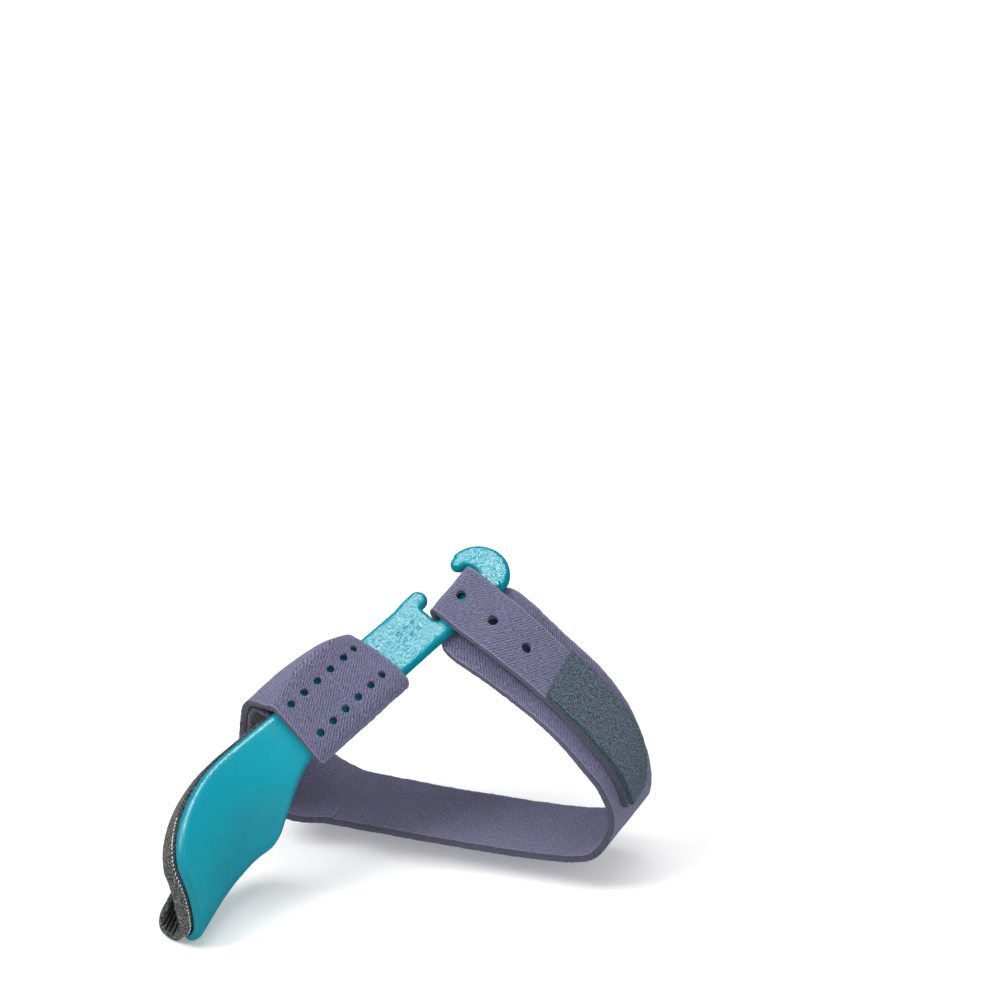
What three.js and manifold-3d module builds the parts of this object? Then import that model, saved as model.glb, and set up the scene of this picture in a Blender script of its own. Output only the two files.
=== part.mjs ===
// Bunion corrector in its worn shape: a moulded splint with a padded wing, a perforated band over its
// bar, and a long strap that hooks over the splint and fastens on itself at the outer side.
// Millimetres. +X points to the outer side, +Y to the rear and +Z up.

import * as THREE from "three";
import { mergeVertices } from "three/addons/utils/BufferGeometryUtils.js";
import { TessellateModifier } from "three/addons/modifiers/TessellateModifier.js";
import Module from "manifold-3d";

const wasm = await Module();
wasm.setup();

// Driving sizes of the splint
const splintThickness = 2.3;
const barWidth = 14.3;
const wingLength = 46;
const wingDepth = 30;
const wingNeck = 14;
const wingCorner = 4;
const curlRadius = 8;
const curlSweep = 62;
const bandStart = -1;
const slotLength = 16.5;
const spineWidth = 5.9;
const spineSkew = 0.15;
const slotFillet = 0.7;
const prongRadius = 2.4;
const hookRadius = 8;

// Driving sizes of the soft pieces
const padThickness = 4;
const padSweep = 150;
const padRim = 0.8;
const padNeckInset = 3;
const padGap = 0.5;
const bandWidth = 30.5;
const bandOverhang = 2.3;
const bandToSlot = 15.4;
const strapThickness = 1.8;
const liningThickness = 1.5;
const strapWidth = 24;
const tabSideClearance = 0.75;
const patchThickness = 1.2;
const patchBorder = 1.2;
const tabToPatch = 33;
const patchTaper = 15;
const bandHoleSize = 2;
const bandHolePitch = 4.3;
const bandHolesPerRow = 6;
const bandHoleRowGap = 9.8;
const tabHoleSize = 2.7;
const tabHolePitch = 10.7;
const tabHoleCount = 3;
const clearance = 0.3;

// Driving sizes of the room inside the worn shape
const footWidth = 92;
const instepHeight = 50;
const barYaw = 18.4;
const barRise = 23;
const barStartHeight = 34.9;
const barStartSide = -25.1;
const barStartReach = 57;

const slotStart = bandStart + bandWidth + bandToSlot;
const foldEdge = barWidth - spineWidth;

const radians = THREE.MathUtils.degToRad;
const vector = (x, y, z) => new THREE.Vector3(x, y, z);

// A value table is read between its rows by a smooth curve through them.
function readTable(rows, at) {
  const count = rows.length;
  let low = 0;
  while (low < count - 2 && at > rows[low + 1].at) low += 1;
  const a = rows[low];
  const b = rows[low + 1];
  const before = rows[Math.max(low - 1, 0)];
  const after = rows[Math.min(low + 2, count - 1)];
  const span = b.at - a.at;
  const t = (at - a.at) / span;
  const outside = t < 0 || t > 1;
  const result = {};
  for (const key of Object.keys(a)) {
    if (key === "at") continue;
    const slopeA = (b[key] - before[key]) / (b.at - before.at);
    const slopeB = (after[key] - a[key]) / (after.at - a.at);
    const end = t < 0 ? a[key] + slopeA * (at - a.at) : b[key] + slopeB * (at - b.at);
    const t2 = t * t;
    const t3 = t2 * t;
    result[key] = outside ? end
      : (2 * t3 - 3 * t2 + 1) * a[key] + (t3 - 2 * t2 + t) * slopeA * span
        + (3 * t2 - 2 * t3) * b[key] + (t3 - t2) * slopeB * span;
  }
  return result;
}

// The splint is a flat pattern bent to shape. Along the pattern runs s, which is 0 at the wing side of
// the band, and across it runs v, which is 0 at the inner edge. Each row gives the inner edge's place
// (side, reach and drop, as shares of wingLength), the heading of the section (yaw and rise), how far
// its outer side tilts down at that edge, how far it bows, and how deep it goes before it curls under,
// as a share of wingDepth.
const wingRows = [
  { at: -1.05, side: -0.172, reach: -1.0, drop: -0.235, yaw: 3, rise: 8, tilt: 37, bow: 63, deep: 1 },
  { at: -0.5, side: -0.105, reach: -0.48, drop: -0.145, yaw: 6, rise: 7, tilt: 44, bow: 57, deep: 0.93 },
  { at: -0.25, side: -0.056, reach: -0.238, drop: -0.074, yaw: 12, rise: 10, tilt: 43, bow: 48, deep: 0.87 },
];
const barTwist = [
  { at: 0, tilt: 38 },
  { at: 0.25, tilt: 30.5 },
  { at: 0.5, tilt: 24 },
  { at: 0.75, tilt: 22 },
  { at: 1.2, tilt: 22 },
];
const barLength = slotStart + slotLength + hookRadius;
const barStartBow = 14;
function sectionAxes(yaw, rise) {
  const axis = vector(
    Math.sin(radians(yaw)) * Math.cos(radians(rise)),
    Math.cos(radians(yaw)) * Math.cos(radians(rise)),
    Math.sin(radians(rise)),
  );
  const outer = vector(Math.cos(radians(yaw)), -Math.sin(radians(yaw)), 0);
  const up = new THREE.Vector3().crossVectors(outer, axis);
  return { axis, outer, up };
}

const formRows = wingRows.map((row) => ({
  at: row.at * wingLength,
  x: barStartSide + row.side * wingLength,
  y: barStartReach + row.reach * wingLength,
  z: barStartHeight + row.drop * wingLength,
  yaw: row.yaw,
  rise: row.rise,
  tilt: row.tilt,
  bow: row.bow,
  deep: row.deep * wingDepth,
}));
const barFrame = sectionAxes(barYaw, barRise);
const tiltedAcross = (tilt) => vector(0, 0, 0)
  .addScaledVector(barFrame.outer, Math.cos(radians(tilt)))
  .addScaledVector(barFrame.up, -Math.sin(radians(tilt)));
const barMiddle = vector(barStartSide, barStartReach, barStartHeight)
  .addScaledVector(tiltedAcross(barTwist[0].tilt), barWidth / 2);
for (const row of barTwist) {
  const s = row.at * barLength;
  const place = barMiddle.clone().addScaledVector(barFrame.axis, s)
    .addScaledVector(tiltedAcross(row.tilt), -barWidth / 2);
  const bow = row.at === 0 ? barStartBow : 0;
  formRows.push({
    at: s, x: place.x, y: place.y, z: place.z, yaw: barYaw, rise: barRise, tilt: row.tilt, bow,
    deep: wingDepth,
  });
}

// Point of the formed outer face at (s, v)
function facePoint(s, v) {
  const row = readTable(formRows, s);
  const { outer, up } = sectionAxes(row.yaw, row.rise);
  const bend = radians(Math.max(row.bow, 0.01)) / row.deep;
  const start = radians(row.tilt);
  const onPanel = Math.min(v, row.deep);
  const turned = start + bend * onPanel;
  let across = (Math.sin(turned) - Math.sin(start)) / bend;
  let down = (Math.cos(start) - Math.cos(turned)) / bend;
  if (v > row.deep) {
    const end = turned + (v - row.deep) / curlRadius;
    across += curlRadius * (Math.sin(end) - Math.sin(turned));
    down += curlRadius * (Math.cos(turned) - Math.cos(end));
  }
  return vector(row.x, row.y, row.z).addScaledVector(outer, across).addScaledVector(up, -down);
}

function faceNormal(s, v) {
  const step = 0.05;
  const along = facePoint(s + step, v).sub(facePoint(s - step, v));
  const across = facePoint(s, v + step).sub(facePoint(s, v - step));
  return across.cross(along).normalize();
}

const splintPoint = (s, v, h) => facePoint(s, v).addScaledVector(faceNormal(s, v), h);

const curlEnd = (sweep) => wingDepth + radians(sweep) * curlRadius;
const quarter = (share) => Math.sqrt(Math.max(0, 1 - share * share));

// Edges of the wing: the shoulder rounds its top towards the free end, the neck runs from the bar's
// outer edge down to the full depth, and a small corner rounds the end of the curl.
function wingEdges({ neck, end, depth, top }) {
  const shoulderReach = 0.66 * end;
  const shoulderDepth = 0.5 * wingDepth;
  const corner = wingCorner;
  const low = (s) => {
    const past = (shoulderReach - end - s) / shoulderReach;
    return past <= 0 ? top : top + (shoulderDepth - top) * (1 - quarter(past));
  };
  const high = (s) => {
    if (s > -neck) return depth - (depth - barWidth) * quarter(Math.min(-s / neck, 1));
    const past = (corner - end - s) / corner;
    return past <= 0 ? depth : depth - corner * (1 - quarter(past));
  };
  return { low, high };
}

// Rows stand closer where an edge turns across the pattern.
function wingStations(neck, end, start) {
  const stations = [];
  const endSteps = 5;
  const endRun = 1.25 * wingCorner;
  for (let i = 0; i <= endSteps; i += 1) stations.push(-end + endRun * (i / endSteps) ** 2);
  const middleSteps = 6;
  const middleRun = end - neck - endRun;
  for (let i = 1; i <= middleSteps; i += 1) stations.push(endRun - end + middleRun * (i / middleSteps));
  const neckSteps = 7;
  for (let i = 1; i <= neckSteps; i += 1) stations.push(-neck + (neck + start) * (i / neckSteps) ** 1.7);
  return stations;
}

// A closed sheet between two heights over the splint's face, on a grid of rows. Where it goes on into
// another piece of the same sheet it is left open at its last row.
function panel(stations, { low, high }, lowest, highest, columns, open) {
  const corners = [];
  const place = (i, j, h) => {
    const s = stations[i];
    corners.push(...splintPoint(s, low(s) + (high(s) - low(s)) * (j / columns), h).toArray());
  };
  const quad = (...spots) => {
    for (const k of [0, 1, 2, 0, 2, 3]) place(...spots[k]);
  };
  const last = stations.length - 1;
  for (let i = 0; i < last; i += 1) {
    for (let j = 0; j < columns; j += 1) {
      quad([i, j, highest], [i, j + 1, highest], [i + 1, j + 1, highest], [i + 1, j, highest]);
      quad([i, j, lowest], [i + 1, j, lowest], [i + 1, j + 1, lowest], [i, j + 1, lowest]);
    }
    quad([i, 0, lowest], [i, 0, highest], [i + 1, 0, highest], [i + 1, 0, lowest]);
    quad([i, columns, lowest], [i + 1, columns, lowest], [i + 1, columns, highest], [i, columns, highest]);
  }
  for (let j = 0; j < columns; j += 1) {
    quad([0, j, lowest], [0, j + 1, lowest], [0, j + 1, highest], [0, j, highest]);
    if (open) continue;
    quad([last, j, lowest], [last, j, highest], [last, j + 1, highest], [last, j + 1, lowest]);
  }
  return corners;
}

function fromCorners(corners) {
  const geometry = new THREE.BufferGeometry();
  geometry.setAttribute("position", new THREE.Float32BufferAttribute(corners, 3));
  return mergeVertices(geometry, 1e-3);
}

// The prong, slot and hook are drawn flat, extruded, and formed over the splint's face. Their sheet
// starts at the row where the panel was left open, with the same corners.
const headStart = slotStart - 2.2 * prongRadius;
const splintColumns = 13;
const padColumns = 18;

function headPattern() {
  const shape = new THREE.Shape();
  const slotEnd = slotStart + slotLength;
  const fillet = slotFillet;
  const spineNear = foldEdge + spineSkew * slotLength / 2;
  const spineFar = foldEdge - spineSkew * slotLength / 2;
  const prongCentre = slotStart + 0.45 * prongRadius;
  const prongSide = 0.75 * prongRadius;
  const prongTop = prongSide + prongRadius;
  const tipCentre = slotEnd - 0.45 * prongRadius;
  const tipRadius = 0.85 * prongRadius;
  const tipSide = 0.7 * prongRadius;
  const tipTop = tipSide + tipRadius;
  shape.moveTo(headStart, 0);
  const prongFoot = prongSide - prongRadius;
  shape.quadraticCurveTo(slotStart - prongRadius, prongFoot, prongCentre, prongFoot);
  shape.absarc(prongCentre, prongSide, prongRadius, -Math.PI / 2, Math.PI / 2, false);
  shape.quadraticCurveTo(slotStart, prongTop, slotStart, prongTop + fillet);
  shape.lineTo(slotStart, spineNear - fillet);
  shape.quadraticCurveTo(slotStart, spineNear, slotStart + fillet, spineNear - spineSkew * fillet);
  shape.lineTo(slotEnd - fillet, spineFar + spineSkew * fillet);
  shape.quadraticCurveTo(slotEnd, spineFar, slotEnd, spineFar - fillet / 2);
  shape.quadraticCurveTo(slotEnd, tipTop, tipCentre, tipTop);
  shape.absarc(tipCentre, tipSide, tipRadius, Math.PI / 2, -Math.PI / 2, false);
  shape.absarc(slotEnd, barWidth / 2, hookRadius, -Math.PI / 2, Math.PI / 2, false);
  for (let j = splintColumns; j > 0; j -= 1) shape.lineTo(headStart, barWidth * (j / splintColumns));
  shape.closePath();
  return shape;
}

function headCorners() {
  const flat = new THREE.ExtrudeGeometry(headPattern(), {
    depth: splintThickness, bevelEnabled: false, curveSegments: 6,
  });
  flat.deleteAttribute("normal");
  flat.deleteAttribute("uv");
  const place = new TessellateModifier(6, 10).modify(flat).getAttribute("position");
  const corners = [];
  for (let i = 0; i < place.count; i += 3) {
    const atStart = [i, i + 1, i + 2].every((k) => place.getX(k) < headStart + 1e-4);
    if (atStart) continue;
    for (const k of [i, i + 2, i + 1]) {
      const h = place.getZ(k) - splintThickness;
      corners.push(...splintPoint(place.getX(k), place.getY(k), h).toArray());
    }
  }
  return corners;
}

function splintSheet() {
  const wing = wingEdges({ neck: wingNeck, end: wingLength, depth: curlEnd(curlSweep), top: 0 });
  const edges = { low: (s) => (s < 0 ? wing.low(s) : 0), high: (s) => (s < 0 ? wing.high(s) : barWidth) };
  const stations = wingStations(wingNeck, wingLength, 0);
  const barSteps = 9;
  for (let i = 1; i <= barSteps; i += 1) stations.push(headStart * (i / barSteps));
  return fromCorners([
    ...panel(stations, edges, -splintThickness, 0, splintColumns, true), ...headCorners(),
  ]);
}

function padSheet() {
  const neck = wingNeck + padNeckInset;
  const end = wingLength + padRim;
  const top = -(splintThickness + padGap);
  return fromCorners(panel(
    wingStations(neck, end, -padNeckInset),
    wingEdges({ neck, end, depth: curlEnd(padSweep), top: -padRim }),
    top - padThickness, top, padColumns, false,
  ));
}

// Rows of strap cloth, each a line of points across the strap, are joined by smooth curves.
const acrossCount = 8;

function smoothRows(rows) {
  const fine = [];
  const steps = 14;
  for (let i = 0; i < rows.length - 1; i += 1) {
    const before = rows[Math.max(i - 1, 0)];
    const after = rows[Math.min(i + 2, rows.length - 1)];
    for (let k = 0; k < steps; k += 1) {
      const t = k / steps;
      fine.push(rows[i].map((point, j) => hermite(before[j], point, rows[i + 1][j], after[j], t)));
    }
  }
  fine.push(rows[rows.length - 1]);
  return fine;
}

function hermite(before, a, b, after, t) {
  const t2 = t * t;
  const t3 = t2 * t;
  const reach = a.distanceTo(b);
  const slopeA = b.clone().sub(before).multiplyScalar(reach / (b.distanceTo(a) + a.distanceTo(before)));
  const slopeB = after.clone().sub(a).multiplyScalar(reach / (after.distanceTo(b) + b.distanceTo(a)));
  return a.clone().multiplyScalar(2 * t3 - 3 * t2 + 1)
    .addScaledVector(slopeA, t3 - 2 * t2 + t)
    .addScaledVector(b, 3 * t2 - 2 * t3)
    .addScaledVector(slopeB, t3 - t2);
}

// Rows are kept where the strap has run on or turned enough since the last one.
function thinRows(rows, longest, sharpest) {
  const middle = acrossCount / 2;
  const kept = [rows[0]];
  let heading = rows[1][middle].clone().sub(rows[0][middle]).normalize();
  for (let i = 1; i < rows.length - 1; i += 1) {
    const next = rows[i + 1][middle].clone().sub(rows[i][middle]).normalize();
    const run = rows[i][middle].distanceTo(kept[kept.length - 1][middle]);
    if (run > longest || (heading.angleTo(next) > radians(sharpest) && run > 0.4)) {
      kept.push(rows[i]);
      heading = next;
    }
  }
  kept.push(rows[rows.length - 1]);
  return kept;
}

function rowNormals(rows) {
  return rows.map((row, i) => row.map((point, j) => {
    const before = rows[Math.max(i - 1, 0)][j];
    const after = rows[Math.min(i + 1, rows.length - 1)][j];
    const near = row[Math.max(j - 1, 0)];
    const far = row[Math.min(j + 1, acrossCount)];
    return after.clone().sub(before).cross(far.clone().sub(near)).normalize();
  }));
}

const shiftRows = (rows, offset) => {
  const normals = rowNormals(rows);
  return rows.map((row, i) => row.map((point, j) => point.clone().addScaledVector(normals[i][j], offset)));
};

// A closed strip between two faces, with walls round its edge
function strip(rows, thickness) {
  const faces = [shiftRows(rows, -thickness / 2), shiftRows(rows, thickness / 2)];
  const width = acrossCount + 1;
  const count = rows.length * width;
  const position = faces.flat(2).flatMap((point) => point.toArray());
  const index = [];
  const quad = (a, b, c, d) => index.push(a, b, c, a, c, d);
  for (let i = 0; i < rows.length - 1; i += 1) {
    for (let j = 0; j < acrossCount; j += 1) {
      const a = i * width + j;
      quad(a, a + 1, a + width + 1, a + width);
      quad(count + a, count + a + width, count + a + width + 1, count + a + 1);
    }
    const near = i * width;
    const far = near + acrossCount;
    quad(near, near + width, count + near + width, count + near);
    quad(far, count + far, count + far + width, far + width);
  }
  const last = (rows.length - 1) * width;
  for (let j = 0; j < acrossCount; j += 1) {
    quad(j, count + j, count + j + 1, j + 1);
    quad(last + j, last + j + 1, count + last + j + 1, count + last + j);
  }
  const geometry = new THREE.BufferGeometry();
  geometry.setAttribute("position", new THREE.Float32BufferAttribute(position, 3));
  geometry.setIndex(index);
  return geometry;
}

function toSolid(geometry) {
  const merged = mergeVertices(geometry, 1e-4);
  return new wasm.Manifold(new wasm.Mesh({
    numProp: 3,
    vertProperties: new Float32Array(merged.getAttribute("position").array),
    triVerts: new Uint32Array(merged.getIndex().array),
  }));
}

function fromSolid(solid) {
  const mesh = solid.getMesh();
  const geometry = new THREE.BufferGeometry();
  geometry.setAttribute("position", new THREE.Float32BufferAttribute(mesh.vertProperties, 3));
  geometry.setIndex(new THREE.Uint32BufferAttribute(mesh.triVerts, 1));
  return geometry;
}

// A round punch through the cloth at a point, along its normal
function punch(point, normal, size) {
  const sides = 10;
  const geometry = new THREE.CylinderGeometry(size / 2, size / 2, 2.4 * strapThickness, sides);
  geometry.deleteAttribute("normal");
  geometry.deleteAttribute("uv");
  const turn = new THREE.Quaternion().setFromUnitVectors(vector(0, 1, 0), normal);
  geometry.applyQuaternion(turn);
  geometry.translate(point.x, point.y, point.z);
  return toSolid(geometry);
}

function punched(geometry, punches) {
  let solid = toSolid(geometry);
  for (const tool of punches) solid = solid.subtract(tool);
  return fromSolid(solid);
}

const overSplint = clearance + strapThickness / 2;
const underSplint = -(splintThickness + clearance + strapThickness / 2);
const bandMiddle = bandStart + bandWidth / 2;
const slotMiddle = slotStart + slotLength / 2;
const tabWidth = slotLength - 2 * tabSideClearance;

const acrossShares = Array.from({ length: acrossCount + 1 }, (unused, j) => j / acrossCount - 0.5);

// A row of cloth that lies on the splint, across the strap along s
function rowOnSplint(middle, width, v, h, skew = 0) {
  return acrossShares.map((share) => splintPoint(middle + share * width, v - skew * share * width, h));
}

// A row of cloth off the splint: its middle is given as shares of footWidth, of the run from the band
// to the slot and of instepHeight, and turn and climb head its width.
const bandPlace = splintPoint(bandMiddle, barWidth / 2, 0);
const slotPlace = splintPoint(slotMiddle, barWidth / 2, 0);
const strapRun = slotPlace.y - bandPlace.y;

function rowOnFoot({ side, along, up, turn, climb }, width) {
  const middle = vector(side * footWidth, bandPlace.y + along * strapRun, up * instepHeight);
  const across = vector(
    Math.sin(radians(turn)) * Math.cos(radians(climb)),
    Math.cos(radians(turn)) * Math.cos(radians(climb)),
    Math.sin(radians(climb)),
  );
  return acrossShares.map((share) => middle.clone().addScaledVector(across, share * width));
}

// Down the inner side, from the bar to the bottom run
const innerSideRows = [
  { side: -0.322, along: 0.07, up: 0.742, turn: 16, climb: 13 },
  { side: -0.383, along: 0.118, up: 0.57, turn: 4, climb: 12 },
  { side: -0.428, along: 0.176, up: 0.37, turn: -6, climb: 9 },
  { side: -0.421, along: 0.241, up: 0.154, turn: -8, climb: 5 },
  { side: -0.348, along: 0.324, up: 0.004, turn: -11, climb: 1 },
];

// The bottom run, from the inner side to the outer side
const soleRows = [
  { side: -0.24, along: 0.403, up: -0.032, turn: -13, climb: 0 },
  { side: -0.08, along: 0.5, up: -0.038, turn: -13, climb: 0 },
  { side: 0.15, along: 0.64, up: -0.038, turn: -13, climb: 0 },
  { side: 0.34, along: 0.755, up: -0.026, turn: -12, climb: 0 },
  { side: 0.462, along: 0.83, up: 0.014, turn: -9, climb: 1 },
];

// Up the outer side and over the top, from the bottom run to the bar. The tab lies on these rows too,
// and lift is how far it stands off them because the bar holds it up.
const outerSideRows = [
  { side: 0.516, along: 0.874, up: 0.12, turn: -5, climb: 3, lift: 0 },
  { side: 0.522, along: 0.888, up: 0.27, turn: -8, climb: 7, lift: 0 },
  { side: 0.493, along: 0.87, up: 0.434, turn: -8, climb: 13, lift: 0 },
  { side: 0.445, along: 0.866, up: 0.55, turn: -4, climb: 17, lift: 0 },
  { side: 0.37, along: 0.882, up: 0.664, turn: -3, climb: 21, lift: 0.06 },
  { side: 0.25, along: 0.938, up: 0.762, turn: -5, climb: 26, lift: 0.4 },
  { side: 0.13, along: 0.968, up: 0.862, turn: 4, climb: 28, lift: 0.82 },
];

const onFoot = (rows, width) => rows.map((row) => rowOnFoot(row, width));

// Cloth is carried round the bar's inner edge at this distance from the corner.
const aroundEdge = (angle, width) => rowOnSplint(
  bandMiddle, width,
  -1.15 * overSplint * Math.sin(radians(angle)), 1.15 * overSplint * Math.cos(radians(angle)),
);

const bandRows = thinRows(smoothRows([
  rowOnSplint(bandMiddle, bandWidth, barWidth + bandOverhang, -0.45 * splintThickness),
  rowOnSplint(bandMiddle, bandWidth, barWidth + 0.5 * bandOverhang, 0.3 * splintThickness),
  rowOnSplint(bandMiddle, bandWidth, 0.93 * barWidth, 1.15 * overSplint),
  rowOnSplint(bandMiddle, bandWidth, 0.65 * barWidth, 1.1 * overSplint),
  rowOnSplint(bandMiddle, bandWidth, 0.35 * barWidth, 1.1 * overSplint),
  rowOnSplint(bandMiddle, bandWidth, 0.05 * barWidth, 1.15 * overSplint),
  aroundEdge(50, bandWidth),
  aroundEdge(95, bandWidth),
  ...onFoot(innerSideRows, bandWidth),
  rowOnFoot(soleRows[0], strapWidth),
]), 5, 9);

// The lining runs flat under the bar, then follows the band down the inner side and stops short of the
// lap on the bottom run.
const underLining = -(splintThickness + 1.5 * clearance + liningThickness / 2);
const liningLap = (strapThickness + liningThickness) / 2 + clearance;
const innerTop = innerSideRows[0].side * footWidth;
const insideBand = shiftRows(bandRows, liningLap).filter((row, i) => (
  bandRows[i][acrossCount / 2].x < innerTop + 0.5
));
const liningRows = [
  ...thinRows(smoothRows([
    rowOnSplint(bandMiddle, bandWidth, barWidth + bandOverhang, underLining - clearance),
    rowOnSplint(bandMiddle, bandWidth, 0.65 * barWidth, underLining),
    rowOnSplint(bandMiddle, bandWidth, 0.35 * barWidth, underLining),
    rowOnSplint(bandMiddle, bandWidth, 0.08 * barWidth, underLining - 0.5 * clearance),
    insideBand[0],
  ]), 5, 9),
  ...insideBand.slice(1, -2),
];

const lap = strapThickness + clearance;
const foldRadius = splintThickness / 2 + overSplint;
const foldRows = [-90, -55, -20, 20, 55, 90].map((angle) => rowOnSplint(
  slotMiddle, tabWidth,
  foldEdge - foldRadius * Math.cos(radians(angle)),
  -splintThickness / 2 + foldRadius * Math.sin(radians(angle)),
  spineSkew,
));

// The tab lies on the strap that comes up the outer side, lifted off it near the bar.
function tabOnStrap(rows) {
  const course = onFoot(rows, tabWidth);
  const normals = rowNormals(course);
  return course.map((row, i) => row.map((point, j) => point.clone().addScaledVector(
    normals[i][j], lap + rows[i].lift * (splintThickness + clearance),
  )));
}

// Distance of each row from the first, along the middle of the cloth
function rowDistances(rows) {
  const middle = acrossCount / 2;
  let total = 0;
  return rows.map((row, i) => {
    if (i > 0) total += row[middle].distanceTo(rows[i - 1][middle]);
    return total;
  });
}

// The rear side of an end is rounded off, down to a share of the width.
function roundEnd(rows, length, keep) {
  const distances = rowDistances(rows);
  const total = distances[distances.length - 1];
  return rows.map((row, i) => {
    const share = Math.max(0, 1 - (total - distances[i]) / length);
    const width = keep + (1 - keep) * quarter(share);
    return row.map((point) => row[0].clone().lerp(point, width));
  });
}

const tabRows = roundEnd(smoothRows([
  foldRows[foldRows.length - 1],
  rowOnSplint(slotMiddle, tabWidth, barWidth - 0.4 * spineWidth, overSplint, 0.5 * spineSkew),
  rowOnSplint(slotMiddle, tabWidth, barWidth + 2, overSplint),
  ...tabOnStrap(outerSideRows.slice(1).reverse()),
]), patchTaper, 0.35);
const tabDistances = rowDistances(tabRows);
const tabLength = tabDistances[tabDistances.length - 1];

// The strap starts under the band's end.
const underBand = shiftRows(bandRows, -lap).slice(-3).map((row) => {
  const middle = row[acrossCount / 2];
  const share = strapWidth / row[0].distanceTo(row[acrossCount]);
  return row.map((point) => middle.clone().lerp(point, share));
});
const strapRows = thinRows([
  ...smoothRows([
    ...underBand,
    ...onFoot(soleRows.slice(1), strapWidth),
    ...onFoot(outerSideRows, strapWidth),
    rowOnSplint(slotMiddle, strapWidth, barWidth + 2, underSplint),
    rowOnSplint(slotMiddle, (strapWidth + tabWidth) / 2, barWidth - 0.4 * spineWidth, underSplint),
    ...foldRows,
  ]),
  ...tabRows.slice(1),
], 5, 9);

const patchStretch = tabRows.filter((row, i) => (
  tabDistances[i] > tabToPatch && tabDistances[i] < tabLength - patchBorder
));
const patchRows = thinRows(shiftRows(
  patchStretch.map((row) => row.map((point, j) => point.clone().lerp(
    row[0], (patchBorder / tabWidth) * (j / acrossCount),
  ))),
  (strapThickness + patchThickness) / 2 + 1.3 * clearance,
), 5, 9);

const bandPunches = [];
for (let row = 0; row < 2; row += 1) {
  for (let i = 0; i < bandHolesPerRow; i += 1) {
    const s = bandMiddle + (i - (bandHolesPerRow - 1) / 2) * bandHolePitch;
    const v = barWidth / 2 - 0.65 + (row - 0.5) * bandHoleRowGap;
    bandPunches.push(punch(splintPoint(s, v, overSplint), faceNormal(s, v), bandHoleSize));
  }
}

const tabPunches = [];
const tabNormals = rowNormals(tabRows);
for (let i = 0; i < tabHoleCount; i += 1) {
  const distance = 0.25 * spineWidth + i * tabHolePitch;
  const row = tabDistances.findIndex((reached) => reached >= distance);
  const middle = acrossCount / 2;
  tabPunches.push(punch(tabRows[row][middle], tabNormals[row][middle], tabHoleSize));
}

const mesh = (name, geometry, color, roughness) => {
  const part = new THREE.Mesh(geometry, new THREE.MeshStandardMaterial({ color, roughness, metalness: 0 }));
  part.name = name;
  return part;
};

// The origin is the lining's inner face under the middle of the band.
const seat = splintPoint(bandMiddle, barWidth / 2, underLining - liningThickness / 2);
const group = new THREE.Group();
group.position.copy(seat).negate();
group.add(mesh("splint", splintSheet(), 0x0a9aa8, 0.22));
group.add(mesh("toe_pad", padSheet(), 0x55585a, 0.95));
group.add(mesh("ball_band", punched(strip(bandRows, strapThickness), bandPunches), 0x7a7698, 0.9));
group.add(mesh("band_lining", strip(liningRows, liningThickness), 0x3c3d42, 0.95));
group.add(mesh("foot_strap", punched(strip(strapRows, strapThickness), tabPunches), 0x7a7698, 0.9));
group.add(mesh("fastener_patch", strip(patchRows, patchThickness), 0x4b5f6e, 0.95));

export default group;
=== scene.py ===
# Bunion corrector in its worn shape: a glossy teal splint with a flocked pad, a perforated band over
# its bar, and a strap that hooks over the splint. Metres, in the frame's own axes.

from bisect import bisect_right
from math import asin, cos, degrees, hypot, pi, radians, sin, sqrt

import bmesh
import bpy
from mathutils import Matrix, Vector, kdtree, noise


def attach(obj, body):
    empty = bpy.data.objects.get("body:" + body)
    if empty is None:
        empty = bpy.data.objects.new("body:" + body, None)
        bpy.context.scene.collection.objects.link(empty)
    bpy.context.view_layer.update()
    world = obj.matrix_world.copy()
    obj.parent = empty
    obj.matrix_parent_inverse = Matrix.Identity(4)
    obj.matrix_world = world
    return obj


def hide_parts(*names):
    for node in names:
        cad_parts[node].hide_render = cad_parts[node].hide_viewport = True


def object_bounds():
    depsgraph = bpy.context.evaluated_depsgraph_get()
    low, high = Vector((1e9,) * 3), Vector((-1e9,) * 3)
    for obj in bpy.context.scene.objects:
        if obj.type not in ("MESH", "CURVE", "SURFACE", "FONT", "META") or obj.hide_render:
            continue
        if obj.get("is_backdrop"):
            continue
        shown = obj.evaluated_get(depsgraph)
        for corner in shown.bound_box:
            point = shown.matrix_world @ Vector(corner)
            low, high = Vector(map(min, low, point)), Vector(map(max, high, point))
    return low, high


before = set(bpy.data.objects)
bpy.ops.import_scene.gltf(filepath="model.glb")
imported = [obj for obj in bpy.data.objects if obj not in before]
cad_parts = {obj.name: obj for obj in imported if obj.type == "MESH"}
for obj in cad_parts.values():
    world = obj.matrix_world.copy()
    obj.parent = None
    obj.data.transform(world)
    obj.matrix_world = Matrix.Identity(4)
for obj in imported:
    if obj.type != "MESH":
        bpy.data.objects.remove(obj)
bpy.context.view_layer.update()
print("frame loaded")

mm = 0.001
noise.seed_set(5)  # the straps fray alike in every run

# Camera

cameraView = {
    "azimuth": 31,
    "elevation": 26,
    "distance": 0.85,
    "lens": 127.28,
    "sensor": 36,
    "nearest": 0.01,
    "target": (0.02338, 0.03653, 0.0443),
}


def placeCamera(view):
    turn = radians(view["azimuth"])
    lift = radians(view["elevation"])
    away = Vector((sin(turn) * cos(lift), -cos(turn) * cos(lift), sin(lift)))
    data = bpy.data.cameras.new("camera")
    data.lens = view["lens"]
    data.sensor_width = view["sensor"]
    data.clip_start = view["nearest"]
    camera = bpy.data.objects.new("camera", data)
    camera.location = Vector(view["target"]) + away * view["distance"]
    camera.rotation_euler = (-away).to_track_quat("-Z", "Y").to_euler()
    bpy.context.scene.collection.objects.link(camera)
    bpy.context.scene.camera = camera


placeCamera(cameraView)

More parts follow.
